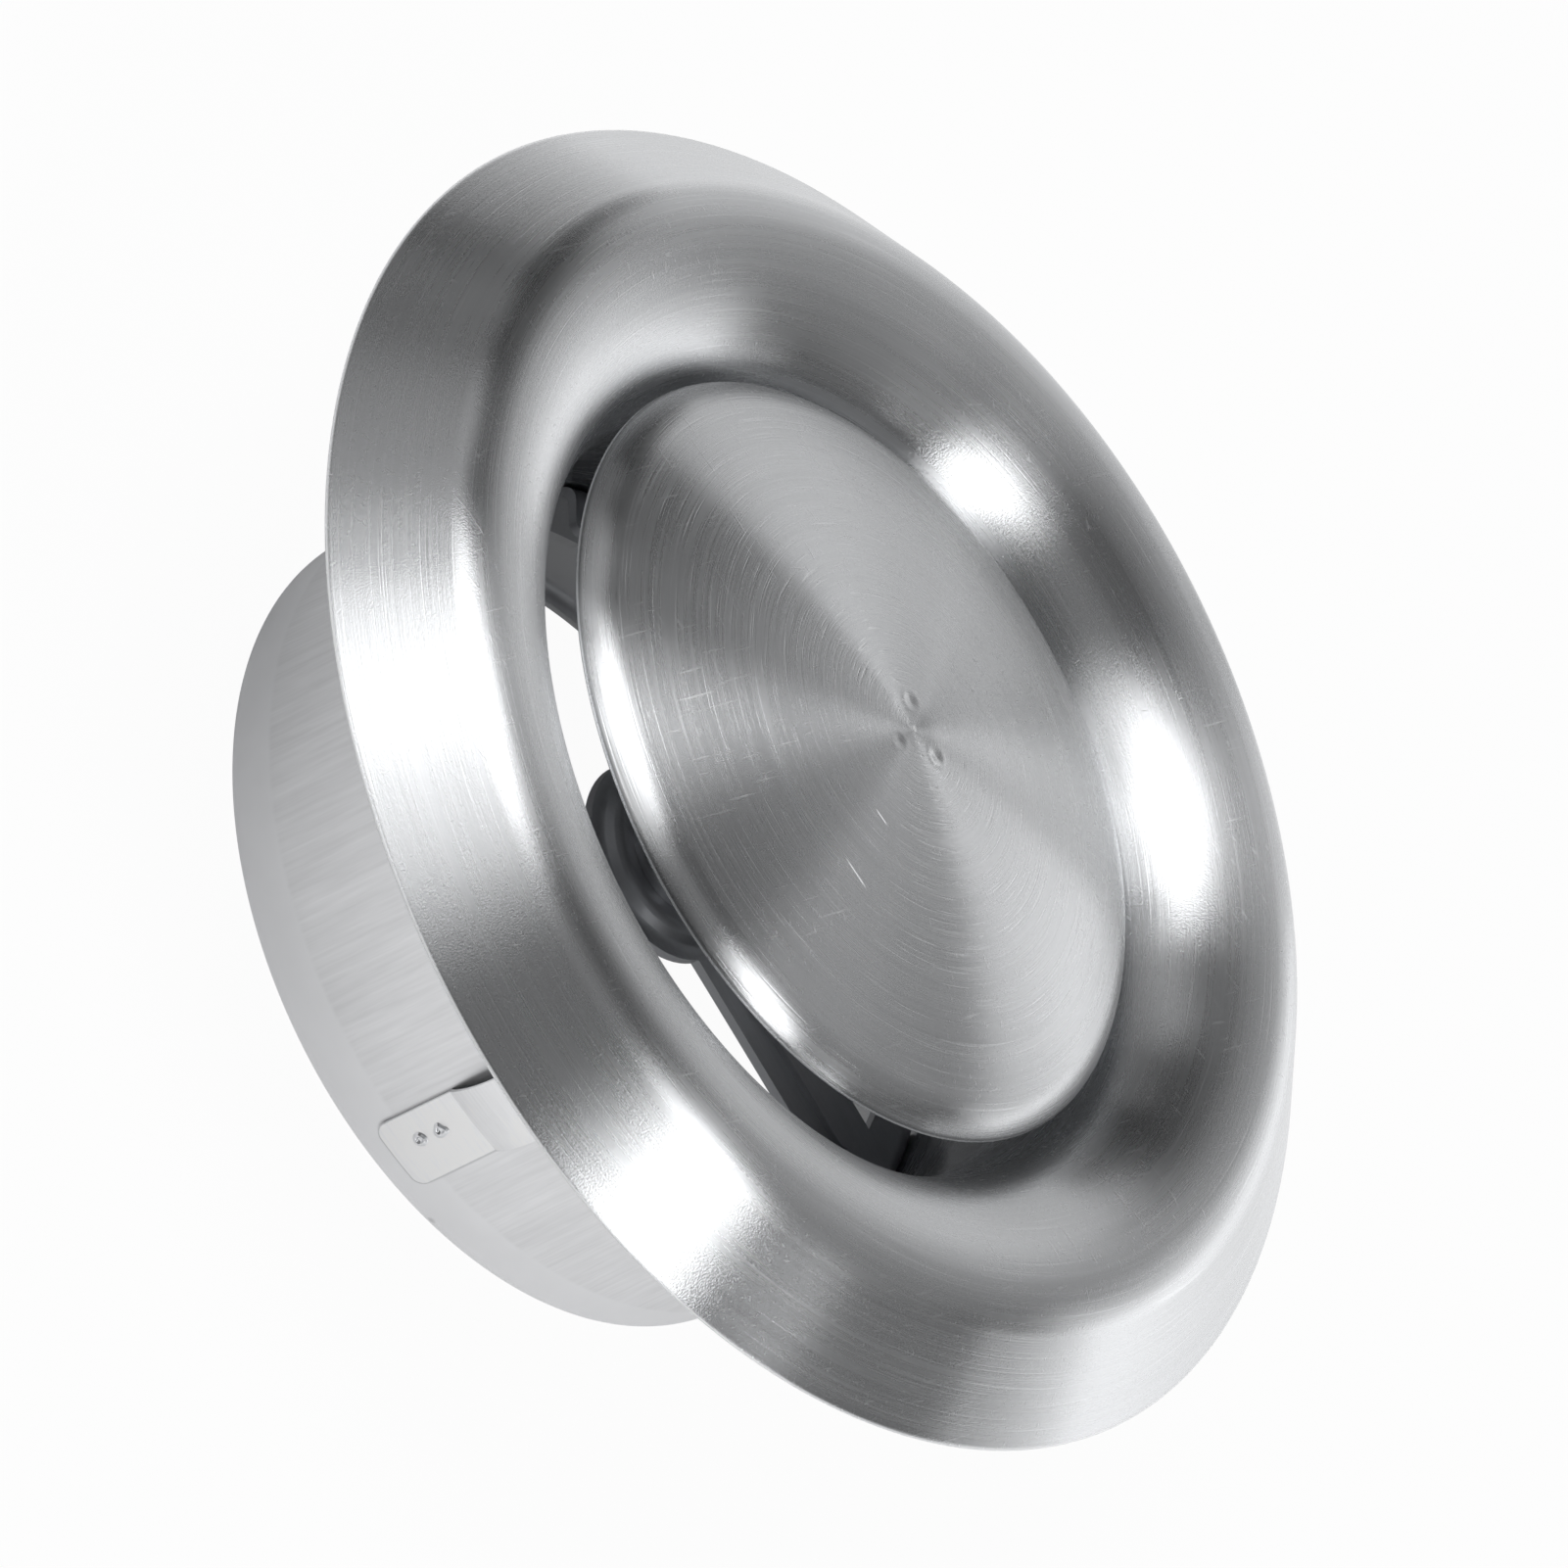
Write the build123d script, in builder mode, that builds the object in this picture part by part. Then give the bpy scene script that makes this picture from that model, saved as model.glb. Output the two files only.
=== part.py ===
# Stainless steel disc valve for a 100 mm exhaust duct
#
# A deep drawn front ring with a funnel-shaped throat, a sleeve that slides into the duct, three
# spring clips that hold it there, and a domed disc on a threaded rod. Turning the disc screws it
# in or out through the bridge behind it, and a lock nut holds the setting.
# Frame: Z is the valve's axis and points out of the front, X runs along the first bridge arm,
# and the origin is the centre of the sleeve's rear end.

from build123d import *
from math import acos, asin, atan2, cos, degrees, hypot, radians, sin, tan
import os

# Sheet thicknesses, in millimetres
ring_sheet = 0.8
sleeve_sheet = 0.8
bridge_sheet = 1.2
clip_sheet = 0.4
disc_sheet = 0.8
plate_sheet = 1.5

# Gaps between pieces
seat_gap = 0.03
collar_gap = 0.1
thread_gap = 0.05

# Sleeve, measured from its rear end
sleeve_radius = 49.5
taper_front = 7.7
taper_inset = 0.4
rear_corner_radius = 2.6
rear_lip_width = 3.5

# Front ring
rim_radius = 81.0
rim_height = 46.0
crest_radius = 64.95
crest_bend = 8.63
crest_height = 12.6
throat_inset = 1.5
collar_depth = 25.5
sleeve_front_gap = 0.36

# Bridge
arm_count = 3
hub_radius = 12.2
hub_depth = 22.7
boss_radius = 9.3
boss_foot_radius = 11.0
boss_height = 1.8
boss_bend = 1.6
arm_slope = 5.3
arm_half_width = 5.7
foot_length = 7.2
foot_half_width = 14.8
foot_corner = 1.5
foot_bend = 3.0
foot_height = 9.6
bead_start_gap = 3.3
bead_end_gap = 2.8
bead_half_width = 1.8
bead_height = 0.8

# Spring clips
clip_count = 3
clip_turn = 34.3
clip_width = 9.0
clip_rear = 4.5
clip_corner = 1.6
plate_front = 16.7
leaf_step = 0.5
leaf_step_length = 0.6
leaf_bulge = 2.9
leaf_front = 33.5
leaf_tip_step = 0.6

# Disc, which leans on its rod towards +Y and sits a little off the rod's axis
lip_rise = 6.8
disc_lean = 3.3
disc_offset = (-0.9, 0.25)
disc_overlap = 0.85
dome_height = 10.2
lip_bend = 7.0
lip_angle = 47.5

# Rod, weld plate, bush, washer and nut
rod_radius = 2.95
rod_rear = 4.0
weld_plate_radius = 9.0
bush_radius = 5.0
bush_flange_radius = 7.2
bush_flange_height = 1.2
bush_swage_radius = 6.2
bush_swage_height = 1.4
bush_length_behind = 3.5
washer_radius = 5.6
washer_height = 1.3
washer_split = 1.0
nut_flats = 10.0
nut_height = 3.2
nut_chamfer = 0.5

os.makedirs("parts", exist_ok=True)


def save(piece, name):
    """Labels a finished piece and writes its file."""
    piece.part.label = name
    export_step(piece.part, f"parts/{name}.step")


# Front ring: flank, rounded crest, funnel and rear collar spun from one sheet
sleeve_inner = sleeve_radius - sleeve_sheet
collar_inner = sleeve_inner - collar_gap - ring_sheet
collar_rear = rim_height - collar_depth
throat_radius = collar_inner - throat_inset
crest_top = rim_height + crest_height
crest_centre = crest_top - crest_bend
rim_reach = hypot(rim_radius - crest_radius, crest_centre - rim_height)
flank_rise = atan2(crest_centre - rim_height, rim_radius - crest_radius)
flank_slope = degrees(flank_rise + asin(crest_bend / rim_reach))
funnel_bend = crest_radius - throat_radius
funnel_centre = crest_top - funnel_bend
collar_reach = hypot(crest_radius - collar_inner, funnel_centre - collar_rear)
collar_drop = atan2(funnel_centre - collar_rear, crest_radius - collar_inner)
funnel_turn = 90 + degrees(collar_drop - acos(funnel_bend / collar_reach))
with BuildPart() as front_ring:
    with BuildSketch(Plane.XZ):
        with BuildLine():
            crest = CenterArc((crest_radius, crest_centre), crest_bend, 90 - flank_slope, flank_slope)
            flank = Line((rim_radius, rim_height), crest @ 0)
            funnel = CenterArc((crest_radius, funnel_centre), funnel_bend, 90, funnel_turn)
            collar = Line(funnel @ 1, (collar_inner, collar_rear))
            offset(amount=ring_sheet, side=Side.LEFT)
        make_face()
    revolve(axis=Axis.Z)
save(front_ring, "front_ring")

# Sleeve: one drawn tube, tapered a little at the rear and turned in to a narrow lip
taper_radius = sleeve_radius - taper_inset
rear_opening_radius = sleeve_radius - rear_lip_width
funnel_back = funnel_bend - ring_sheet - sleeve_front_gap
sleeve_front = funnel_centre + (funnel_back**2 - (crest_radius - sleeve_inner) ** 2) ** 0.5
with BuildPart() as sleeve:
    with BuildSketch(Plane.XZ):
        with BuildLine():
            wall = Line((sleeve_radius, sleeve_front), (sleeve_radius, taper_front))
            taper = Line(wall @ 1, (taper_radius, rear_corner_radius))
            corner_end = (taper_radius - rear_corner_radius, 0)
            corner = RadiusArc(taper @ 1, corner_end, rear_corner_radius)
            lip = Line(corner @ 1, (rear_opening_radius, 0))
            offset(amount=sleeve_sheet, side=Side.RIGHT)
        make_face()
    revolve(axis=Axis.Z)
save(sleeve, "sleeve")

# Bridge: the pressed cone and its turned-down edge, before the arms are cut out
tab_radius = sleeve_inner - seat_gap
hub_front = rim_height - hub_depth
boss_top = hub_front + boss_height
arm_middle = (hub_radius + tab_radius) / 2
arm_drop = tan(radians(arm_slope))
middle_height = hub_front - (arm_middle - hub_radius) * arm_drop
edge_height = hub_front - (tab_radius - hub_radius) * arm_drop
foot_rear = edge_height - foot_height
with BuildSketch(Plane.XZ) as bridge_section:
    with BuildLine():
        hub_line = FilletPolyline(
            (bush_radius + seat_gap, boss_top),
            (boss_radius, boss_top),
            (boss_foot_radius, hub_front),
            (hub_radius, hub_front),
            (arm_middle, middle_height),
            radius=boss_bend,
        )
        edge_line = FilletPolyline(
            (arm_middle, middle_height),
            (tab_radius, edge_height),
            (tab_radius, foot_rear),
            radius=foot_bend,
        )
        offset(amount=bridge_sheet, side=Side.RIGHT)
    make_face()

# Bridge: plan of one T-shaped arm. The inner edge of its foot is an arc about the ring's axis
foot_start_radius = tab_radius - foot_length
with BuildSketch() as arm_plan:
    with Locations((sleeve_radius / 2, 0)):
        Rectangle(sleeve_radius, 2 * foot_half_width)
    Circle(foot_start_radius, mode=Mode.SUBTRACT)
    fillet(arm_plan.vertices().sort_by(Axis.X)[:2], radius=foot_corner)
    with Locations((foot_start_radius / 2, 0)):
        Rectangle(foot_start_radius, 2 * arm_half_width)

# Bridge: the bead pressed into each arm, raised in front and hollow behind
bead_start = hub_radius + bead_start_gap
bead_end = foot_start_radius - bead_end_gap
bead_middle = (bead_start + bead_end) / 2
bead_length = (bead_end - bead_start) + 2 * bead_half_width
bead_plane = Plane(
    origin=(bead_middle, 0, hub_front - (bead_middle - hub_radius) * arm_drop),
    x_dir=(cos(radians(arm_slope)), 0, -sin(radians(arm_slope))),
    z_dir=(sin(radians(arm_slope)), 0, cos(radians(arm_slope))),
)
with BuildPart() as bead:
    with BuildSketch(bead_plane.offset(-bridge_sheet / 2)):
        SlotOverall(bead_length, 2 * bead_half_width)
    extrude(amount=bead_height + bridge_sheet / 2)
groove_inset = bridge_sheet / 2
with BuildPart() as groove:
    with BuildSketch(bead_plane.offset(-2 * bridge_sheet)):
        SlotOverall(bead_length - 2 * groove_inset, 2 * (bead_half_width - groove_inset))
    extrude(amount=bridge_sheet + bead_height)

# Bridge: three arms and the hub in one pressing
with BuildPart() as bridge:
    add(revolve(bridge_section.sketch, axis=Axis.Z, mode=Mode.PRIVATE))
    with BuildSketch():
        Circle(hub_radius)
        with PolarLocations(0, arm_count):
            add(arm_plan.sketch)
    extrude(amount=rim_height, mode=Mode.INTERSECT)
    with PolarLocations(0, arm_count):
        add(bead.part)
    with PolarLocations(0, arm_count):
        add(groove.part, mode=Mode.SUBTRACT)
save(bridge, "bridge")

# Hub bush: threaded bush with a flange in front of the hub and a swaged collar behind it
boss_back = boss_top - bridge_sheet
bush_rear = boss_back - bush_length_behind
with BuildPart() as hub_bush:
    with BuildSketch(Plane.XY.offset(boss_top + seat_gap)):
        Circle(bush_flange_radius)
    extrude(amount=bush_flange_height)
    with BuildSketch(Plane.XY.offset(bush_rear)):
        Circle(bush_radius)
    extrude(amount=boss_top + seat_gap - bush_rear)
    with BuildSketch(Plane.XY.offset(boss_back - seat_gap)):
        Circle(bush_swage_radius)
    extrude(amount=-bush_swage_height)
    with BuildSketch(Plane.XY.offset(bush_rear)):
        Circle(rod_radius + thread_gap)
    extrude(amount=rim_height, mode=Mode.SUBTRACT)
save(hub_bush, "hub_bush")

# Spring clips: a flat plate on the sleeve and a leaf that bows away from it towards the front
clip_inner = sleeve_radius + seat_gap
leaf_start = plate_front + leaf_step_length
leaf_middle = (leaf_start + leaf_front) / 2
clip_length = leaf_front - clip_rear
with BuildPart() as clip:
    with BuildSketch(Plane.XZ):
        with BuildLine():
            plate = Line((clip_inner, clip_rear), (clip_inner, plate_front))
            step = Line(plate @ 1, (clip_inner + leaf_step, leaf_start))
            leaf_top = (clip_inner + leaf_bulge, leaf_middle)
            leaf = ThreePointArc(step @ 1, leaf_top, (clip_inner + leaf_tip_step, leaf_front))
            offset(amount=clip_sheet, side=Side.RIGHT)
        make_face()
    revolve(axis=Axis.Z)
    with BuildSketch(Plane.YZ):
        with Locations((0, clip_rear + clip_length / 2)):
            RectangleRounded(clip_width, clip_length, clip_corner)
    extrude(amount=rim_radius, mode=Mode.INTERSECT)
for number in range(clip_count):
    with BuildPart() as spring_clip:
        with Locations(Rotation(0, 0, clip_turn + number * 360 / clip_count)):
            add(clip.part)
    save(spring_clip, f"spring_clip_{number + 1}")

# Disc: shallow dome that bends down more sharply at its lip, leaning a little on its rod
lean_y = sin(radians(disc_lean))
lean_z = cos(radians(disc_lean))
disc_radius = throat_radius + disc_overlap
lip_height = rim_height + lip_rise
disc_centre = (*disc_offset, lip_height)
disc_plane = Plane(origin=disc_centre, x_dir=(1, 0, 0), z_dir=(0, -lean_z, lean_y))
disc_axis = Axis(disc_centre, (0, lean_y, lean_z))
lip_centre_radius = disc_radius - lip_bend * sin(radians(lip_angle))
lip_centre_drop = dome_height + lip_bend * cos(radians(lip_angle))
dome_top_gap = lip_centre_radius**2 + lip_centre_drop**2 - lip_bend**2
dome_radius = dome_top_gap / (2 * (lip_centre_drop - lip_bend))
dome_centre = dome_height - dome_radius
dome_half_angle = degrees(asin(lip_centre_radius / (dome_radius - lip_bend)))
with BuildPart() as valve_disc:
    with BuildSketch(disc_plane):
        with BuildLine():
            dome = CenterArc((0, dome_centre), dome_radius, 90, -dome_half_angle)
            lip_centre = (lip_centre_radius, dome_height - lip_centre_drop)
            lip_sweep = dome_half_angle - lip_angle
            lip = CenterArc(lip_centre, lip_bend, 90 - dome_half_angle, lip_sweep)
            offset(amount=disc_sheet, side=Side.RIGHT)
        make_face()
    revolve(axis=disc_axis)
save(valve_disc, "valve_disc")

# Stud plate: round plate welded behind the dome, bored for the end of the rod
inner_dome = dome_radius - disc_sheet
plate_top = dome_centre + (inner_dome**2 - weld_plate_radius**2) ** 0.5 - seat_gap
rod_front = lip_height + plate_top - plate_sheet / 4
with BuildPart() as stud_plate:
    with BuildSketch(disc_plane):
        with Locations((weld_plate_radius / 2, plate_top - plate_sheet / 2)):
            Rectangle(weld_plate_radius, plate_sheet)
    revolve(axis=disc_axis)
    with BuildSketch(Plane.XY.offset(lip_height)):
        Circle(rod_radius + thread_gap)
    extrude(amount=2 * dome_height, mode=Mode.SUBTRACT)
save(stud_plate, "stud_plate")

# Threaded rod: plain core to the thread's outer size, ends chamfered
with BuildPart() as threaded_rod:
    with BuildSketch(Plane.XY.offset(rod_rear)):
        Circle(rod_radius)
    extrude(amount=rod_front - rod_rear)
    chamfer(threaded_rod.edges().filter_by(GeomType.CIRCLE), length=nut_chamfer)
save(threaded_rod, "threaded_rod")

# Lock washer: split ring between the bush and the nut
washer_front = bush_rear - seat_gap
with BuildPart() as lock_washer:
    with BuildSketch(Plane.XY.offset(washer_front)):
        Circle(washer_radius)
        Circle(rod_radius + thread_gap, mode=Mode.SUBTRACT)
        with Locations((washer_radius, 0)):
            Rectangle(2 * washer_radius, washer_split, mode=Mode.SUBTRACT)
    extrude(amount=-washer_height)
save(lock_washer, "lock_washer")

# Lock nut: thin hexagon nut with chamfered corners
nut_front = washer_front - washer_height - seat_gap
nut_corner_radius = nut_flats / 2 / cos(radians(30))
with BuildPart() as lock_nut:
    with BuildSketch(Plane.XY.offset(nut_front)):
        Circle(nut_corner_radius)
    extrude(amount=-nut_height)
    chamfer(lock_nut.edges().filter_by(GeomType.CIRCLE), length=nut_chamfer)
    with BuildSketch(Plane.XY.offset(nut_front)):
        RegularPolygon(nut_flats / 2, 6, major_radius=False)
    extrude(amount=-nut_height, mode=Mode.INTERSECT)
    with BuildSketch(Plane.XY.offset(nut_front)):
        Circle(rod_radius + thread_gap)
    extrude(amount=-nut_height, mode=Mode.SUBTRACT)
save(lock_nut, "lock_nut")
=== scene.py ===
from math import asin, atan2, cos, degrees, hypot, radians, sin

import bpy
import numpy as np
from mathutils import Matrix, Vector


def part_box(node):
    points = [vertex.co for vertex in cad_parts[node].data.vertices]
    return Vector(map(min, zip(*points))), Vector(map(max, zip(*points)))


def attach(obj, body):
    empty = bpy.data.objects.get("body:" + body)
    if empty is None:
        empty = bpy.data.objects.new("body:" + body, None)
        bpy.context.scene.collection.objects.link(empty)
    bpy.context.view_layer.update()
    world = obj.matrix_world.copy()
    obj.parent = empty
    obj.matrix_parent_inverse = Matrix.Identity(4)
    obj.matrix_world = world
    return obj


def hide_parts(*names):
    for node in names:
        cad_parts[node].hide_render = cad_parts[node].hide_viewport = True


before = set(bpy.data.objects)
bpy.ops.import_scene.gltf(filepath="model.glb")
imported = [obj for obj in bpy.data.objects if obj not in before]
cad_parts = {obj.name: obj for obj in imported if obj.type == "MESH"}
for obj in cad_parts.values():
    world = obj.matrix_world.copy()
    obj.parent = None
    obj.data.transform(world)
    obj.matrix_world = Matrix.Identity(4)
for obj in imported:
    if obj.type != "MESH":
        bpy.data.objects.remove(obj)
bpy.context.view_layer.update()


# Sleeve. A tube of 0.8 mm stainless sheet that enters the duct, slightly tapered at the rear and
# turned in to a narrow lip. The front zone carries short marks along the axis, and the tapered
# rear zone is ironed smooth. Its rear edge has one small nick.

SHEET = 0.0008
SLEEVE_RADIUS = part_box("sleeve")[1].x
SLEEVE_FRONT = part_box("sleeve")[1].z
TAPER_FRONT = 0.0077
TAPER_RADIUS = SLEEVE_RADIUS - 0.0004
REAR_CORNER = 0.0026
REAR_OPENING = 0.046
EDGE_ROUNDING = 0.00012
EDGE_SQUARENESS = 0.6
BLEND = 0.0003
NICK = (0.0131, -0.0477, 0.0014)
NICK_RADIUS = 0.0009
SEAM_SHADOW = (0.0001, 0.0004)
SLEEVE_STEPS = 288
SLEEVE_TINT = (0.93, 0.935, 0.95)
SLEEVE_DEPTH = 0.00003
CLIP_COUNT = 3
CLIP_TURN = 34.3
CLIP_WIDTH = 0.009
CLIP_CORNER = 0.0016
CLIP_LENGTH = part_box("spring_clip_1")[1].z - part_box("spring_clip_1")[0].z
CLIP_MIDDLE = (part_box("spring_clip_1")[1].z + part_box("spring_clip_1")[0].z) / 2


def line(start, end, count):
    """Points spaced evenly from start to end."""
    return np.linspace(start, end, count)


def arc(centre, radius, first, last, count):
    """Centre plus radius times the cosine and sine of angles from first to last, in degrees."""
    angle = np.radians(np.linspace(first, last, count))
    return np.column_stack([centre[0] + radius * np.cos(angle), centre[1] + radius * np.sin(angle)])


def chain(*runs):
    """The runs joined end to end, each shared point kept once."""
    return np.concatenate([runs[0]] + [run[1:] for run in runs[1:]])


def sheet_section(face, thickness, on_axis=False):
    """The face, and behind it the same points moved back along the normal by the thickness.

    An end that isn't on the axis is closed by half a squared-off oval: the cosine and sine of the
    angle round it, each raised to EDGE_SQUARENESS, set across and along the sheet.
    """
    run = np.gradient(face, axis=0)
    run /= np.linalg.norm(run, axis=1, keepdims=True)
    normal = np.column_stack([run[:, 1], -run[:, 0]])
    back = face + normal * thickness
    turn = np.linspace(0, np.pi, 9)[1:-1]
    across = np.sign(np.cos(turn)) * np.abs(np.cos(turn)) ** EDGE_SQUARENESS
    along = np.sin(turn) ** EDGE_SQUARENESS

    def cap(index, outward):
        middle = (face[index] + back[index]) / 2
        return middle - np.outer(across, normal[index]) * thickness / 2 + np.outer(along, outward)

    far_cap = cap(-1, run[-1] * EDGE_ROUNDING)
    if on_axis:
        return np.concatenate([face, far_cap, back[::-1]])
    near_cap = cap(0, -run[0] * EDGE_ROUNDING)[::-1]
    return np.concatenate([face, far_cap, back[::-1], near_cap])


def spin(name, section, steps, on_axis=False):
    """The section carried round Z: x = r cos a, y = r sin a, z = height, for each point and angle.

    The attribute "lathe" keeps cos a, sin a and the distance along the section for the brushing.
    """
    following = np.roll(section, -1, axis=0)
    if np.sum(section[:, 0] * following[:, 1] - following[:, 0] * section[:, 1]) > 0:
        section = section[::-1]
    distance = np.concatenate([[0], np.cumsum(np.linalg.norm(np.diff(section, axis=0), axis=1))])
    rows = section[1:-1] if on_axis else section
    along = distance[1:-1] if on_axis else distance
    angle = np.linspace(0, 2 * np.pi, steps, endpoint=False)
    circle = np.column_stack([np.cos(angle), np.sin(angle)])
    count = len(rows)
    points = np.empty((count, steps, 3))
    points[..., :2] = rows[:, None, :1] * circle
    points[..., 2] = rows[:, None, 1]
    lathe = np.empty((count, steps, 3))
    lathe[..., :2] = circle
    lathe[..., 2] = along[:, None]
    index = np.arange(count * steps).reshape(count, steps)
    below = index[:-1] if on_axis else index
    above = index[1:] if on_axis else np.roll(index, -1, axis=0)
    quads = np.stack([below, np.roll(below, -1, 1), np.roll(above, -1, 1), above], -1)
    faces = quads.reshape(-1, 4).tolist()
    points, lathe = points.reshape(-1, 3), lathe.reshape(-1, 3)
    if on_axis:
        first, last = len(points), len(points) + 1
        ends = np.array([[0, 0, section[0, 1]], [0, 0, section[-1, 1]]])
        points = np.concatenate([points, ends])
        lathe = np.concatenate([lathe, [[0, 0, distance[0]], [0, 0, distance[-1]]]])
        start, finish = index[0], index[-1]
        faces += np.column_stack([np.full(steps, first), np.roll(start, -1), start]).tolist()
        faces += np.column_stack([np.full(steps, last), finish, np.roll(finish, -1)]).tolist()
    return solid(name, points, faces, lathe)


def solid(name, points, faces, lathe=None):
    """A smooth mesh object from its points and faces, in the row's frame."""
    mesh = bpy.data.meshes.new(name)
    mesh.from_pydata(points, [], faces)
    if lathe is not None:
        kept = mesh.attributes.new("lathe", "FLOAT_VECTOR", "POINT")
        kept.data.foreach_set("vector", np.ascontiguousarray(lathe, dtype=np.float32).ravel())
    mesh.shade_smooth()
    mesh.update()
    piece = bpy.data.objects.new(name, mesh)
    bpy.context.collection.objects.link(piece)
    return piece


class Signal:
    """One value in a finish. The operators + - and * on it add Math nodes."""

    def __init__(self, finish, socket):
        self.finish, self.socket = finish, socket

    def __add__(self, other):
        return self.finish.maths("ADD", self, other)

    def __radd__(self, other):
        return self.finish.maths("ADD", other, self)

    def __sub__(self, other):
        return self.finish.maths("SUBTRACT", self, other)

    def __rsub__(self, other):
        return self.finish.maths("SUBTRACT", other, self)

    def __mul__(self, other):
        return self.finish.maths("MULTIPLY", self, other)

    def __rmul__(self, other):
        return self.finish.maths("MULTIPLY", other, self)


class Finish:
    """The nodes of a material or of the world."""

    def __init__(self, owner):
        self.owner = owner
        owner.use_nodes = True
        self.tree = owner.node_tree
        self.tree.nodes.clear()

    def node(self, kind, settings=None, values=None, output=0):
        """Adds a node, sets its settings, then its sockets to values or links; gives one output."""
        made = self.tree.nodes.new(kind)
        for key, setting in (settings or {}).items():
            setattr(made, key, setting)
        for key, given in (values or {}).items():
            socket = made.inputs[key]
            if isinstance(given, Signal):
                self.tree.links.new(given.socket, socket)
            else:
                socket.default_value = given
        return Signal(self, made.outputs[output]) if made.outputs else None

    def maths(self, operation, first, second=0.0):
        """A Math node on one or two values."""
        return self.node("ShaderNodeMath", {"operation": operation}, {0: first, 1: second})

    def vectors(self, operation, first, second=(0, 0, 0), output=0):
        """A Vector Math node. Operations that give one number have it on their output 1."""
        given = {0: first, 1: second}
        return self.node("ShaderNodeVectorMath", {"operation": operation}, given, output)

    def object_place(self):
        """Object coordinates, in metres."""
        return self.node("ShaderNodeTexCoord", output=3)

    def lathe_place(self):
        """Cosine and sine of the angle round the axis, and the distance along the section."""
        return self.node("ShaderNodeAttribute", {"attribute_name": "lathe"}, output=1)

    def noise(self, place, scale, detail=2.0, roughness=0.5):
        """Fractal noise between 0 and 1. The scale is one number or one for each axis."""
        if isinstance(scale, tuple):
            place = self.vectors("MULTIPLY", place, scale)
            scale = 1.0
        return self.node("ShaderNodeTexNoise", values={
            "Vector": place, "Scale": scale, "Detail": detail, "Roughness": roughness,
        })

    def turned(self, place, x, y, z):
        """A place turned about the axes by angles in degrees."""
        turn = (radians(x), radians(y), radians(z))
        return self.node("ShaderNodeMapping", values={"Vector": place, "Rotation": turn})

    def rise(self, signal, low, high):
        """0 up to the low value, 1 from the high value on, and straight between them."""
        return self.node("ShaderNodeMapRange", values={0: signal, 1: low, 2: high, 3: 0.0, 4: 1.0})

    def part(self, place, axis):
        """One coordinate of a place: 0 for X, 1 for Y and 2 for Z."""
        return self.node("ShaderNodeSeparateXYZ", values={0: place}, output=axis)

    def near(self, place, spot, radius):
        """1 at a spot, falling to 0 at the radius from it."""
        return 1.0 - self.rise(self.vectors("DISTANCE", place, spot, 1), 0.0, radius)

    def hairlines(self, place, low, high):
        """Thin straight scratches in two directions: noise drawn out along X, cut near its top."""
        ways = ((12, 12, 25), (-18, -18, 115))
        drawn = [self.noise(self.turned(place, *way), (130, 2600, 2600), 0.0) for way in ways]
        return sum(self.rise(lines, low, high) for lines in drawn)

    def steel(self, tint, shade, roughness, height, depth, anisotropy=0.0, metal=1.0):
        """Bare steel: a tint times a shade of up to 2, with a bump of a depth in metres.

        With anisotropy it is brushed, and the quarter turn lays the brushing round the Z axis.
        """
        colour = self.node(
            "ShaderNodeMix", {"data_type": "RGBA"},
            {0: shade * 0.5, 6: (0, 0, 0, 1), 7: (*(2 * share for share in tint), 1)}, 2,
        )
        bump = self.node("ShaderNodeBump", values={"Distance": depth, "Height": height})
        shader = self.node("ShaderNodeBsdfPrincipled", values={
            "Base Color": colour, "Metallic": metal, "Roughness": roughness, "Normal": bump,
            "Anisotropic": anisotropy, "Anisotropic Rotation": 0.25,
        })
        self.node("ShaderNodeOutputMaterial", values={"Surface": shader})
        return self.owner


def new_finish(name):
    """An empty material, ready for its nodes."""
    return Finish(bpy.data.materials.new(name))


def clip_outline(finish, place):
    """How far a place lies outside the outline of the nearest clip, in metres, negative inside.

    The distance to a rounded rectangle: the excess of the place over its straight sides, both
    ways, as a length, less the corner radius.
    """
    angle = finish.maths("ARCTAN2", finish.part(place, 1), finish.part(place, 0))
    half_share = radians(180 / CLIP_COUNT)
    from_middle = finish.node("ShaderNodeMath", {"operation": "WRAP"}, {
        0: angle - radians(CLIP_TURN), 1: half_share, 2: -half_share,
    })
    sideways = finish.maths("ABSOLUTE", from_middle) * SLEEVE_RADIUS
    lengthways = finish.maths("ABSOLUTE", finish.part(place, 2) - CLIP_MIDDLE)
    across = finish.maths("MAXIMUM", sideways - (CLIP_WIDTH / 2 - CLIP_CORNER))
    along = finish.maths("MAXIMUM", lengthways - (CLIP_LENGTH / 2 - CLIP_CORNER))
    return finish.maths("SQRT", across * across + along * along) - CLIP_CORNER


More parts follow.
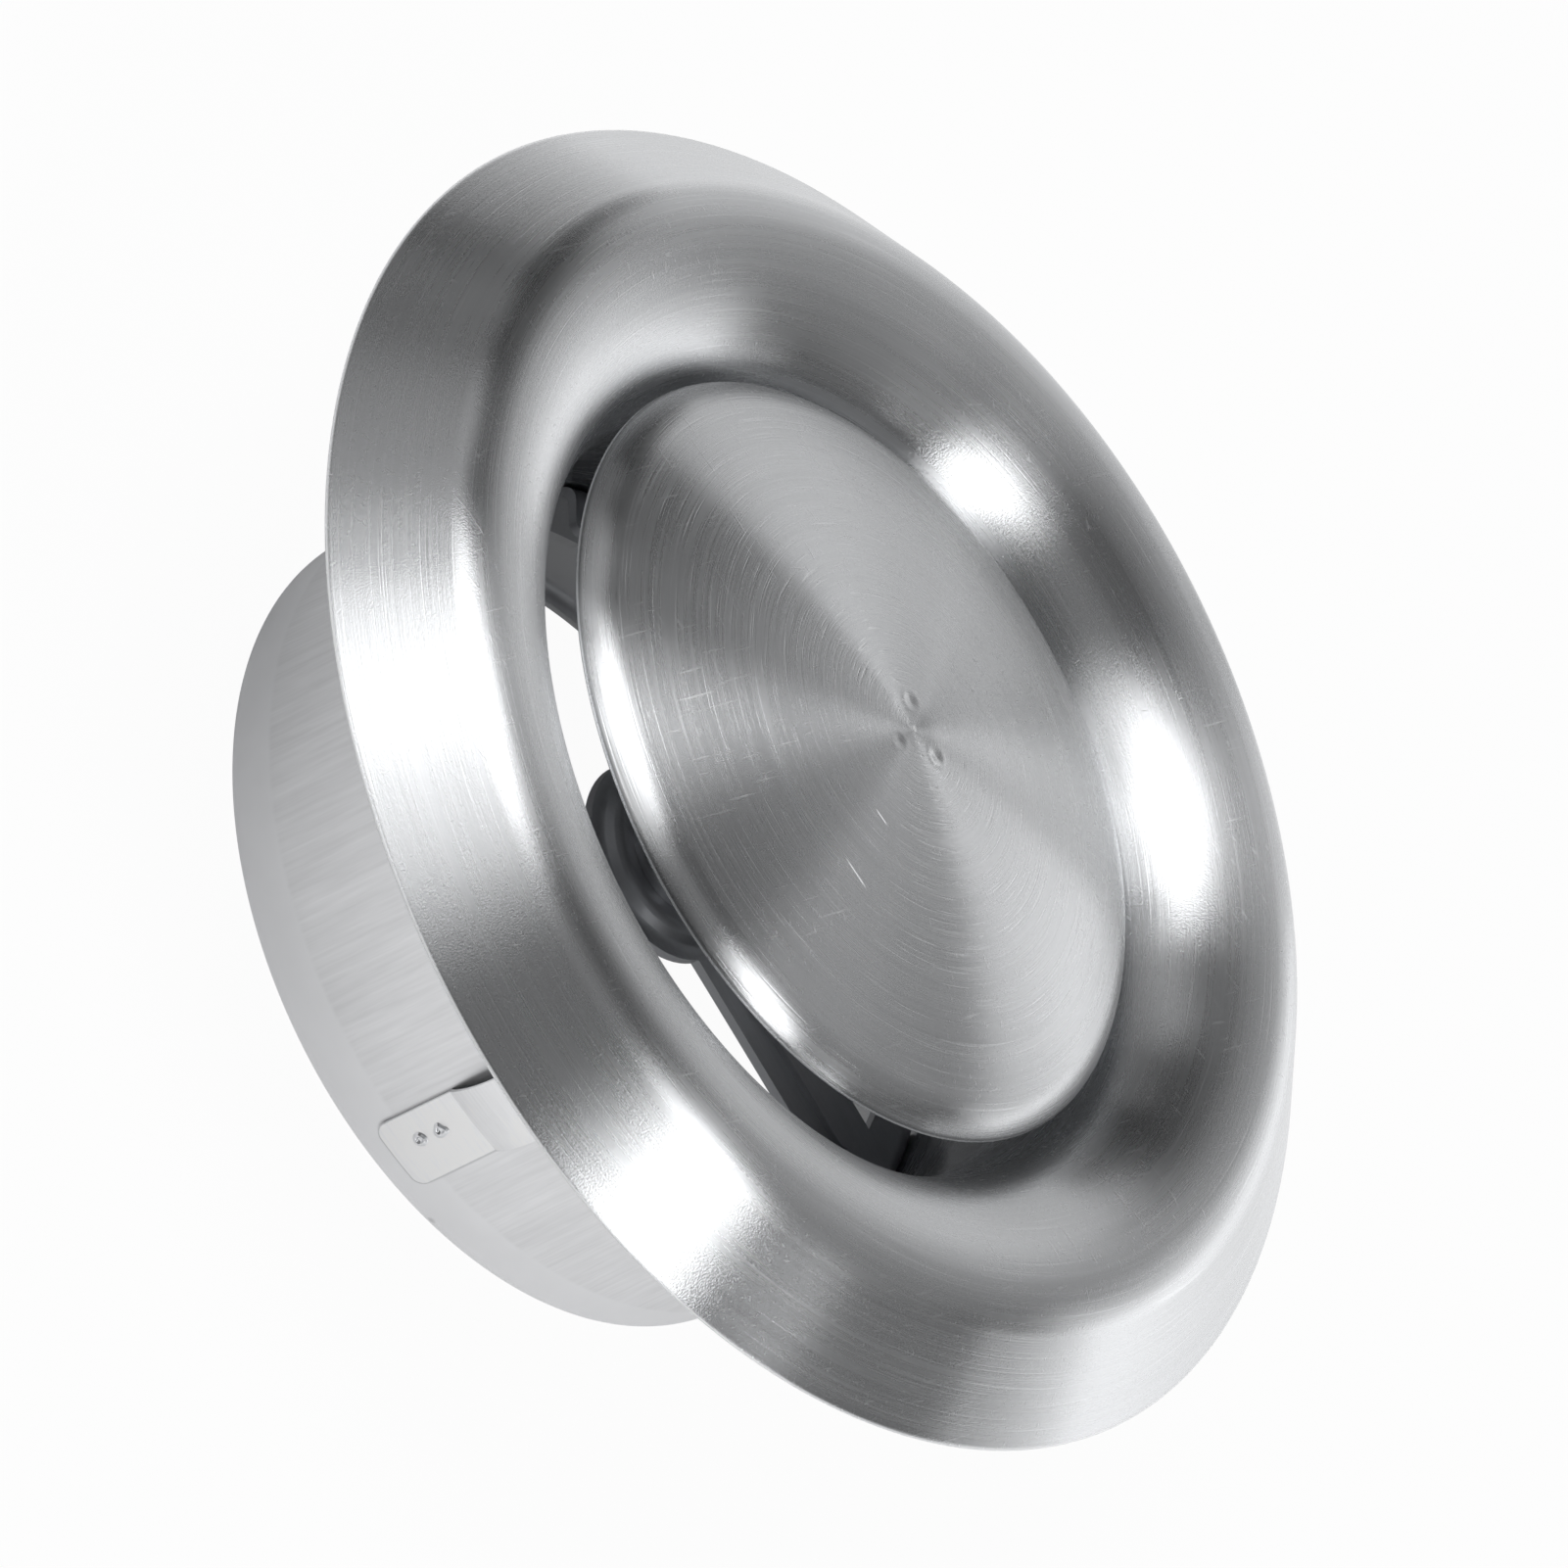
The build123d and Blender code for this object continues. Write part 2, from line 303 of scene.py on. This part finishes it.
def drawn_steel():
    """Steel drawn through a die: short marks along the axis in front, ironed smooth at the rear.

    The marks are noise that changes quickly round the axis and slowly along it, kept to the front
    zone by height. Soft clouds cover both zones, and painted contact shadow, with some dirt in the
    joint, runs as a dark line round each clip.
    """
    finish = new_finish("sleeve_steel")
    place = finish.object_place()
    front = finish.rise(finish.part(place, 2), TAPER_FRONT - BLEND, TAPER_FRONT + BLEND)
    marks = finish.noise(place, (2300, 2300, 110), 2.0, 0.6)
    smear = finish.noise(place, (520, 520, 50), 2.0)
    # Painted shade: a dark line round each clip's outline stands for its contact shadow, with some
    # dirt in the joint.
    seam_shadow = 1.0 - finish.rise(clip_outline(finish, place), *SEAM_SHADOW)
    cloud = finish.noise(place, 75, 3.0, 0.6)
    nick = finish.near(place, NICK, NICK_RADIUS)
    shade = 0.98 + front * ((marks - 0.5) * 0.20 + (smear - 0.5) * 0.16 - 0.05)
    shade = shade + (cloud - 0.5) * 0.13 - nick * 0.75 - seam_shadow * 0.3
    roughness = 0.40 + front * (marks - 0.5) * 0.10 + (cloud - 0.5) * 0.12
    relief = front * marks * 0.12 + cloud * 0.2 - nick * 3.0
    return finish.steel(SLEEVE_TINT, shade, roughness, relief, SLEEVE_DEPTH)


sleeve_face = chain(
    line((SLEEVE_RADIUS, SLEEVE_FRONT - EDGE_ROUNDING), (SLEEVE_RADIUS, TAPER_FRONT), 60),
    line((SLEEVE_RADIUS, TAPER_FRONT), (TAPER_RADIUS, REAR_CORNER), 10),
    arc((TAPER_RADIUS - REAR_CORNER, REAR_CORNER), REAR_CORNER, 0, -90, 12),
    line((TAPER_RADIUS - REAR_CORNER, 0), (REAR_OPENING + EDGE_ROUNDING, 0), 3),
)
sleeve = spin("sleeve_tube", sheet_section(sleeve_face[::-1], -SHEET), SLEEVE_STEPS)
sleeve.data.materials.append(drawn_steel())
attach(sleeve, "housing")
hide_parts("sleeve")


# Front ring. One sheet spun over a former: straight flank, rounded crest, funnel down to the
# throat, and a collar that goes back inside the sleeve. It keeps the rings of the spinning and
# light scratches from handling. Its cut edge at the rim carries a painted highlight, and the
# collar is darkened with painted shade.

RIM_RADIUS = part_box("front_ring")[1].x
CREST_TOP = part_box("front_ring")[1].z
COLLAR_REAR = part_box("front_ring")[0].z
CREST_OVER_RIM = 0.0126
RIM_HEIGHT = CREST_TOP - CREST_OVER_RIM
CREST_RADIUS = 0.06495
CREST_BEND = 0.00863
THROAT_RADIUS = 0.0463
FUNNEL_BEND = CREST_RADIUS - THROAT_RADIUS
FUNNEL_END_ANGLE = 184.5
COLLAR_PLAY = 0.0001
COLLAR_RADIUS = SLEEVE_RADIUS - 2 * SHEET - COLLAR_PLAY
COLLAR_TOP = CREST_TOP - FUNNEL_BEND
COLLAR_BLEND = 0.001
CUT_EDGE_HIGHLIGHT_WIDTHS = (0.0003, 0.00015)
RING_STEPS = 300
SPUN_TINT = (0.69, 0.70, 0.715)
SPUN_ROUGHNESS = 0.27
SPUN_DEPTH = 0.00005
SPUN_ANISOTROPY = 0.96


def spun_finish(name, ring_weight, grain_weight):
    """Steel turned and brushed on a lathe.

    Rings: noise stretched round the axis, read from the "lathe" attribute at two widths. They
    change shade and roughness and stand out as a bump, and a grain breaks up the edges of the
    highlights. Single arcs and straight hairlines lie over them, with broad clouds of polish.
    Gives the finish, and its shade, roughness and relief for more to be added to.
    """
    finish = new_finish(name)
    lathe, place = finish.lathe_place(), finish.object_place()
    fine = finish.noise(lathe, (1.1, 1.1, 3400), 3.0, 0.65)
    broad = finish.noise(lathe, (0.5, 0.5, 620), 2.0, 0.6)
    arcs = finish.rise(finish.noise(lathe, (3.2, 3.2, 4200), 0.0), 0.66, 0.80)
    lines = finish.hairlines(place, 0.74, 0.88)
    cloud = finish.noise(place, 45, 2.0, 0.55)
    grain = finish.noise(place, 4200, 1.0)
    rings = fine * 0.6 + broad * 0.4
    shade = 1.0 + (rings - 0.5) * 0.30 + (cloud - 0.5) * 0.08 + arcs * 0.10 + lines * 0.10
    roughness = SPUN_ROUGHNESS + (rings - 0.5) * 0.10 + (cloud - 0.5) * 0.06 + lines * 0.06
    relief = (rings * 0.6 + arcs * 0.2) * ring_weight + grain * grain_weight + lines * 0.08
    return finish, shade, roughness, relief


def ring_steel():
    """Spun steel with a painted highlight on the cut edge at the rim, and painted shade on the
    collar.
    """
    finish, shade, roughness, relief = spun_finish("spun_steel_ring", 0.6, 0.22)
    place = finish.object_place()
    from_axis = finish.vectors("LENGTH", finish.vectors("MULTIPLY", place, (1, 1, 0)), output=1)
    # Painted highlight: the cut edge at the rim is brightened and made less metallic, for the glint
    # on its rounded edge.
    cut_edge_highlight = finish.rise(from_axis, *(RIM_RADIUS - width for width in CUT_EDGE_HIGHLIGHT_WIDTHS))
    height = finish.part(place, 2)
    # Painted shade: the collar past the throat is darkened, for the shade inside the throat.
    collar_shade = 1.0 - finish.rise(height, COLLAR_TOP - COLLAR_BLEND, COLLAR_TOP + COLLAR_BLEND)
    shade = (shade + cut_edge_highlight * 0.6) * (1.0 - collar_shade * 0.15)
    metal = 1.0 - cut_edge_highlight * 0.8
    return finish.steel(SPUN_TINT, shade, roughness, relief, SPUN_DEPTH, SPUN_ANISOTROPY, metal)


crest_height = CREST_TOP - CREST_BEND
reach = hypot(RIM_RADIUS - CREST_RADIUS, crest_height - RIM_HEIGHT)
rise = atan2(crest_height - RIM_HEIGHT, RIM_RADIUS - CREST_RADIUS)
flank_slope = degrees(rise + asin(CREST_BEND / reach))
flank_way = Vector((-cos(radians(flank_slope)), sin(radians(flank_slope))))
crest = arc((CREST_RADIUS, crest_height), CREST_BEND, 90 - flank_slope, 90, 24)
rim_edge = Vector((RIM_RADIUS, RIM_HEIGHT)) + flank_way * EDGE_ROUNDING
funnel = arc((CREST_RADIUS, COLLAR_TOP), FUNNEL_BEND, 90, FUNNEL_END_ANGLE, 64)
ring_face = chain(
    line(tuple(rim_edge), crest[0], 26),
    crest,
    funnel,
    line(funnel[-1], (COLLAR_RADIUS, COLLAR_REAR + EDGE_ROUNDING), 16),
)
ring = spin("ring_sheet", sheet_section(ring_face, -SHEET), RING_STEPS)
ring.data.materials.append(ring_steel())
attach(ring, "housing")
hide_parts("front_ring")


# Bridge and bush. The bridge is one pressing of dull dark sheet, left as it came from the press,
# with slight clouds of oil on it.

BRIDGE_TINT = (0.46, 0.47, 0.49)
BRIDGE_ROUGHNESS = 0.42
FASTENER_TINT = (0.60, 0.61, 0.63)
FASTENER_ROUGHNESS = 0.35
PRESSED_DEPTH = 0.00002


def pressed_finish(name, rough):
    """Pressed steel: even satin with slight clouds of oil and a fine grain."""
    finish = new_finish(name)
    place = finish.object_place()
    cloud = finish.noise(place, 60, 4.0, 0.6)
    grain = finish.noise(place, 3200, 2.0, 0.6)
    rolled = finish.noise(place, (120, 2400, 2400), 2.0)
    shade = 1.0 + (cloud - 0.5) * 0.35 + (rolled - 0.5) * 0.15
    return finish, shade, rough + (cloud - 0.5) * 0.2, grain * 0.3 + rolled * 0.3


def dress(node, material):
    """Gives a CAD node its material."""
    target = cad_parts[node]
    target.data.materials.clear()
    target.data.materials.append(material)


finish, shade, roughness, relief = pressed_finish("bridge_steel", BRIDGE_ROUGHNESS)
dress("bridge", finish.steel(BRIDGE_TINT, shade, roughness, relief, PRESSED_DEPTH))
finish, shade, roughness, relief = pressed_finish("fastener_steel", FASTENER_ROUGHNESS)
fastener_steel = finish.steel(FASTENER_TINT, shade, roughness, relief, PRESSED_DEPTH)
dress("hub_bush", fastener_steel)


# Spring clips. Thin spring strip, each held on the sleeve by two spot welds that show as small
# craters in the strip: one round, and one with a splashed rim.

CLIP_SHEET = 0.0004
CLIP_PLAY = 0.00003
CLIP_SURFACE = SLEEVE_RADIUS + CLIP_PLAY + CLIP_SHEET
CLIP_TINT = (0.96, 0.965, 0.98)
CLIP_ROUGHNESS = 0.42
CLIP_SHADE_BORDER = (-0.00022, -0.00008)
WELDS = (("a", 0.00915, 0.05), ("b", 0.0124, 0.28))
WELD_TURN = CLIP_TURN - 1.0
WELD_RADIUS = 0.00095
WELD_PIT = 0.2
WELD_RIM = 0.0003
WELD_FLOOR = 0.00002
WELD_ROOT = -0.00016
WELD_STEPS = 40
SPLASH_WAY = 0.6
WELD_TINT = (0.80, 0.81, 0.83)
WELD_ROUGHNESS = 0.25


def weld_mark(name, splash):
    """A crater on a clip: a rounded rim of metal round a pit, closed by a flat root in the strip.

    Height over the strip: the rim's height times the squared sine of a half turn from the pit to
    the outside. The splash pulls the outline out by a cosine of the angle and makes it uneven by
    half as much of a sine of three times the angle.
    """
    share = np.linspace(0, 1, 17)
    swell = np.sin(np.pi * np.clip((share - WELD_PIT) / (1 - WELD_PIT), 0, 1)) ** 2
    top = np.column_stack([share * WELD_RADIUS, WELD_RIM * swell + WELD_FLOOR])
    root = np.array([[WELD_RADIUS, WELD_ROOT], [0.0, WELD_ROOT]])
    mark = spin(name, np.concatenate([top, root]), WELD_STEPS, on_axis=True)
    place = np.empty(len(mark.data.vertices) * 3)
    mark.data.vertices.foreach_get("co", place)
    place = place.reshape(-1, 3)
    side = np.arctan2(place[:, 1], place[:, 0])
    stretch = 1 + splash * np.cos(side - SPLASH_WAY) + splash * 0.5 * np.sin(3 * side)
    place[:, :2] *= stretch[:, None]
    mark.data.vertices.foreach_set("co", place.ravel())
    return mark


finish, shade, roughness, relief = pressed_finish("clip_steel", CLIP_ROUGHNESS)
# Painted shade: a thin dark band just inside each clip's outline stands for the shaded, rounded
# edge of the plate.
border_shade = finish.rise(clip_outline(finish, finish.object_place()), *CLIP_SHADE_BORDER)
clip_steel = finish.steel(CLIP_TINT, shade - border_shade * 0.35, roughness, relief, PRESSED_DEPTH)
finish, shade, roughness, relief = pressed_finish("weld_steel", WELD_ROUGHNESS)
weld_steel = finish.steel(WELD_TINT, shade, roughness, relief, PRESSED_DEPTH)
outwards = Matrix.Rotation(radians(90), 4, "Y")
for number in range(CLIP_COUNT):
    dress(f"spring_clip_{number + 1}", clip_steel)
    turn = Matrix.Rotation(radians(WELD_TURN + 360 / CLIP_COUNT * number), 4, "Z")
    for letter, height, splash in WELDS:
        mark = weld_mark(f"weld_mark_{number + 1}_{letter}", splash)
        mark.data.transform(turn @ Matrix.Translation((CLIP_SURFACE, 0, height)) @ outwards)
        mark.data.materials.append(weld_steel)
        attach(mark, "housing")


# Disc. A shallow dome of the same sheet whose lip bends down, spun and brushed, and welded to its
# rod at three points that show as dimples round the middle. It leans a little and sits a little
# off the rod's axis. Two scratches lie between the middle and the lip.

LIP_OVER_RIM = 0.0068
LIP_HEIGHT = RIM_HEIGHT + LIP_OVER_RIM
LEAN = radians(3.3)
DISC_OFFSET = (-0.0009, 0.00025)
DISC_OVERLAP = 0.00085
DISC_RADIUS = THROAT_RADIUS + DISC_OVERLAP
DOME_HEIGHT = 0.0102
LIP_BEND = 0.007
LIP_ANGLE = 58
EDGE_BEND = 0.0014
EDGE_ANGLE = 82
DIMPLES = ((0.0042, 6), (0.0036, 130), (0.0040, 261))
DIMPLE_RADIUS = 0.0009
DIMPLE_DEPTH = 0.00014
DIMPLE_RIM = 0.15
MIDDLE_RADIUS = 0.0032
MIDDLE_DEPTH = 0.00006
SCRATCHES = (((0.0047, -0.0233), 0.0023), ((0.0026, -0.0142), 0.0013))
SCRATCH_WIDTHS = (0.00005, 0.00013)
SHADED_MIDDLE = (0.0022, 0.0046)
CENTRE_HIGHLIGHT = (0.0002, 0.0005)
EDGE_SHADE_LINE = (0.0008, 0.0004)
EDGE_HIGHLIGHT = (0.0003, 0.0002)
DISC_STEPS = 300

edge_centre = (
    DISC_RADIUS - EDGE_BEND * sin(radians(EDGE_ANGLE)), -EDGE_BEND * cos(radians(EDGE_ANGLE))
)
lip_centre = edge_centre[0] - (LIP_BEND - EDGE_BEND) * sin(radians(LIP_ANGLE))
lip_drop = DOME_HEIGHT - edge_centre[1] + (LIP_BEND - EDGE_BEND) * cos(radians(LIP_ANGLE))
dome_radius = (lip_centre**2 + lip_drop**2 - LIP_BEND**2) / (2 * (lip_drop - LIP_BEND))
dome_centre = DOME_HEIGHT - dome_radius
dome_half = degrees(asin(lip_centre / (dome_radius - LIP_BEND)))
spread = np.concatenate([np.linspace(0, 0.14, 56), np.linspace(0.14, 1, 50)[1:]])
dome_angle = np.radians(90 - dome_half * spread)
dome = np.column_stack([
    dome_radius * np.cos(dome_angle), dome_centre + dome_radius * np.sin(dome_angle)
])
lip = arc((lip_centre, DOME_HEIGHT - lip_drop), LIP_BEND, 90 - dome_half, 90 - LIP_ANGLE, 22)
edge = arc(edge_centre, EDGE_BEND, 90 - LIP_ANGLE, 90 - EDGE_ANGLE, 9)
disc_face = chain(dome, lip, edge)
edge_distance = float(np.sum(np.linalg.norm(np.diff(disc_face, axis=0), axis=1)))
disc_section = sheet_section(disc_face, SHEET, on_axis=True)
disc = spin("disc_sheet", disc_section, DISC_STEPS, on_axis=True)


def press_dimples(piece):
    """Each dimple lowers the front face by a bell curve of the distance, with a slight rim.

    The sheet between the dimples sinks a little too, by a wide, flat bell curve of the distance
    from the axis.
    """
    place = np.empty(len(piece.data.vertices) * 3)
    piece.data.vertices.foreach_get("co", place)
    place = place.reshape(-1, 3)
    from_axis = np.hypot(place[:, 0], place[:, 1])
    face = dome_centre + np.sqrt(np.maximum(dome_radius**2 - from_axis**2, 0))
    front = (from_axis < 0.008) & (np.abs(place[:, 2] - face) < 0.0002)
    drop = MIDDLE_DEPTH * np.exp(-((from_axis / MIDDLE_RADIUS) ** 4))
    for distance, angle in DIMPLES:
        across = place[:, 0] - distance * cos(radians(angle))
        along = place[:, 1] - distance * sin(radians(angle))
        away = np.hypot(across, along) / DIMPLE_RADIUS
        rim = DIMPLE_RIM * np.exp(-((away - 1.4) ** 2) * 5)
        drop += DIMPLE_DEPTH * (np.exp(-(away**2) * 1.4) - rim)
    place[front, 2] -= drop[front]
    piece.data.vertices.foreach_set("co", place.ravel())


def scratch(finish, place, spot, half_length):
    """1 along a fine straight scratch that runs along X through a spot, and 0 beside it."""
    aside = finish.part(place, 1) - spot[1]
    along = finish.part(place, 0) - spot[0]
    thin = 1.0 - finish.rise(finish.maths("ABSOLUTE", aside), *SCRATCH_WIDTHS)
    short = 1.0 - finish.rise(finish.maths("ABSOLUTE", along), half_length * 0.5, half_length)
    return thin * short


def disc_steel():
    """Spun steel with what only the disc shows, placed by the distance along its section.

    The middle has painted shade, round a painted highlight at the centre point. Near the edge runs
    a thin line of painted shade, and the edge itself has a painted highlight. The scratches carry
    a painted glint: brighter, less metallic colour.
    """
    finish, shade, roughness, relief = spun_finish("spun_steel_disc", 1.35, 0.06)
    place = finish.object_place()
    # Painted highlight on real scratches: they are brightened and made less metallic, for the glint
    # of light on them.
    scratch_glints = sum(scratch(finish, place, spot, half) for spot, half in SCRATCHES)
    distance = finish.part(finish.lathe_place(), 2)
    # Painted shade: the sunk middle round the dimples is darkened.
    middle = 1.0 - finish.rise(distance, *SHADED_MIDDLE)
    # Painted highlight: a bright point at the centre of the disc.
    centre_highlight = 1.0 - finish.rise(distance, *CENTRE_HIGHLIGHT)
    # Painted highlight: the very edge of the disc is brightened and made less metallic, for a
    # reflection on the rolled edge.
    edge_highlight = finish.rise(distance, *(edge_distance - width for width in EDGE_HIGHLIGHT))
    # Painted shade: a thin dark line just inside the edge of the disc.
    edge_shade_line = finish.rise(distance, *(edge_distance - width for width in EDGE_SHADE_LINE)) - edge_highlight
    shade = shade + scratch_glints - middle * 0.13 + centre_highlight * 0.7
    shade = shade * (1.0 - edge_shade_line * 0.45) + edge_highlight * 0.15
    metal = 1.0 - edge_highlight * 0.2 - scratch_glints * 0.8
    return finish.steel(SPUN_TINT, shade, roughness, relief, SPUN_DEPTH, SPUN_ANISOTROPY, metal)


press_dimples(disc)
lean_over = Matrix.Translation((*DISC_OFFSET, LIP_HEIGHT)) @ Matrix.Rotation(-LEAN, 4, "X")
disc.data.transform(lean_over)
disc.data.materials.append(disc_steel())
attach(disc, "disc")
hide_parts("valve_disc")


# Rod, weld plate, washer and nut. Plain zinc-grey fasteners behind the disc, hidden in the
# photograph except for the plate's three welds. They keep their CAD shapes.

for fastener in ("stud_plate", "threaded_rod", "lock_washer", "lock_nut"):
    dress(fastener, fastener_steel)


# Floor. A pale sweep that is white to the camera and keeps a soft shadow of the part. Steel
# mirrors it as the photograph shows: dim close by on the north side, paler on the south side, and
# white far out to the north-east, which is what lights the far edge of the ring.

FLOOR_HALF = 3.0
FLOOR_SHARE = 0.96
FLOOR_PAINT = (0.85, 0.85, 0.85, 1)
WHITE = (1, 1, 1, 1)
PALE_BEARING = 300
PALE_FROM, PALE_TO = -0.02, 0.065
DIM_IN_METAL = 0.08
PALE_IN_METAL = 0.58
FAR_BEARING = 62
FAR_FROM, FAR_TO = 0.06, 0.12


def floor_finish():
    """Paint that glows nearly white to the camera, and less to rays that metal mirrors.

    The share of glow in metal is the larger of two rises: one towards the pale side close by, and
    one from dark to white far out. A place times a unit vector is its distance that way.
    """
    finish = new_finish("floor_white")
    seen = finish.node("ShaderNodeLightPath", output="Is Camera Ray")
    passed = finish.node("ShaderNodeLightPath", output="Is Transmission Ray")
    mirrored = finish.node("ShaderNodeLightPath", output="Is Glossy Ray")
    paint = finish.node("ShaderNodeBsdfDiffuse", values={"Color": FLOOR_PAINT})
    glow = finish.node("ShaderNodeEmission", values={"Color": WHITE, "Strength": 1.0})
    place = finish.object_place()
    pale_way, far_way = (
        finish.vectors("DOT_PRODUCT", place, (cos(radians(way)), sin(radians(way)), 0), 1)
        for way in (PALE_BEARING, FAR_BEARING)
    )
    pale = finish.rise(pale_way, PALE_FROM, PALE_TO) * (PALE_IN_METAL - DIM_IN_METAL)
    metal = finish.maths("MAXIMUM", DIM_IN_METAL + pale, finish.rise(far_way, FAR_FROM, FAR_TO))
    share = (seen + passed) * FLOOR_SHARE + mirrored * metal
    surface = finish.node("ShaderNodeMixShader", values={0: share, 1: paint, 2: glow})
    finish.node("ShaderNodeOutputMaterial", values={"Surface": surface})
    return finish.owner


corners = [(x * FLOOR_HALF, y * FLOOR_HALF, 0) for x, y in ((-1, -1), (1, -1), (1, 1), (-1, 1))]
floor = solid("floor", corners, [(0, 1, 2, 3)])
floor.data.materials.append(floor_finish())


# Camera. Parallel projection, because the ellipses of rim, disc and sleeve agree on one scale.
# The tilt, the roll and the frame's width come from the ellipse of the rim, and the offset is from
# the middle of the picture to the rim's centre.

AXIS_TILT = radians(54.1)
AXIS_ROLL = radians(64.1)
BEARING = radians(-16)
FRAME_WIDTH = 0.17975
RIM_OFFSET = (0.00283, -0.00074)
CAMERA_DISTANCE = 1.5

long_way = Vector((cos(BEARING), sin(BEARING), 0))
short_way = Vector((-sin(BEARING), cos(BEARING), 0))
tip_way = short_way * cos(AXIS_TILT) + Vector((0, 0, sin(AXIS_TILT)))
right = long_way * cos(AXIS_ROLL) + tip_way * sin(AXIS_ROLL)
up = tip_way * cos(AXIS_ROLL) - long_way * sin(AXIS_ROLL)
back = right.cross(up)
lens = bpy.data.cameras.new("photo_camera")
lens.type = "ORTHO"
lens.ortho_scale = FRAME_WIDTH
lens.clip_start, lens.clip_end = 0.1, 10
camera = bpy.data.objects.new("photo_camera", lens)
bpy.context.collection.objects.link(camera)
aim = Vector((0, 0, RIM_HEIGHT)) - right * RIM_OFFSET[0] - up * RIM_OFFSET[1]
facing = Matrix((right, up, back)).transposed().to_4x4()
camera.matrix_world = Matrix.Translation(aim + back * CAMERA_DISTANCE) @ facing
bpy.context.scene.camera = camera


# Lamps and sky. Soft boxes stand round the part in a dim room, each named by its compass side
# and height. +X is east and +Y is north. They make the wedges of light in the brushed steel. The
# sky is white to the camera and nearly dark to the steel.

LAMP_DISTANCE = 1.2
ROOM_IN_METAL = 0.03


def soft_box(name, bearing, elevation, width, height, power):
    """A soft box at a bearing from +X and an elevation in degrees, facing the part, in watts."""
    light = bpy.data.lights.new(name, "AREA")
    light.shape = "RECTANGLE"
    light.size, light.size_y = width, height
    light.energy = power
    lamp = bpy.data.objects.new(name, light)
    bpy.context.collection.objects.link(lamp)
    way = Vector((cos(radians(bearing)), sin(radians(bearing)), 0)) * cos(radians(elevation))
    way.z = sin(radians(elevation))
    facing = way.to_track_quat("Z", "Y").to_matrix().to_4x4()
    lamp.matrix_world = Matrix.Translation(aim + way * LAMP_DISTANCE) @ facing


soft_box("box_southeast_high", 314, 48, 0.34, 0.68, 2.7)
soft_box("box_southeast_low", 327, 8, 0.34, 0.34, 1.2)
soft_box("box_west_high", 185, 64, 0.68, 0.68, 4.6)
soft_box("box_southwest_high", 215, 48, 1.02, 0.68, 1.6)
soft_box("box_northeast_floor", 36, 8, 1.36, 0.34, 1.5)
soft_box("box_northeast_low", 49, 16, 1.02, 0.68, 1.3)
soft_box("box_north_low", 90, 16, 0.68, 0.68, 0.8)
soft_box("box_north_high", 72, 40, 0.68, 1.02, 0.6)
soft_box("box_north_floor", 90, 3, 1.70, 0.24, 0.3)
soft_box("box_west_corner", 159, 40, 0.68, 0.34, 0.4)
soft_box("box_west_low", 162, 24, 1.36, 0.34, 0.3)
soft_box("box_south_high", 270, 64, 1.36, 0.68, 0.8)
soft_box("box_east_high", 11, 48, 1.36, 0.68, 0.6)
soft_box("box_east_low", 345, 6, 1.02, 0.34, 0.5)

sky = Finish(bpy.data.worlds.new("studio_sky"))
bpy.context.scene.world = sky.owner
seen = sky.node("ShaderNodeLightPath", output="Is Camera Ray")
passed = sky.node("ShaderNodeLightPath", output="Is Transmission Ray")
room = sky.node("ShaderNodeBackground", values={"Color": WHITE, "Strength": ROOM_IN_METAL})
white = sky.node("ShaderNodeBackground", values={"Color": WHITE, "Strength": 1.0})
shown = sky.node("ShaderNodeMixShader", values={0: seen + passed, 1: room, 2: white})
sky.node("ShaderNodeOutputWorld", values={"Surface": shown})

bpy.context.scene.view_settings.view_transform = "Standard"
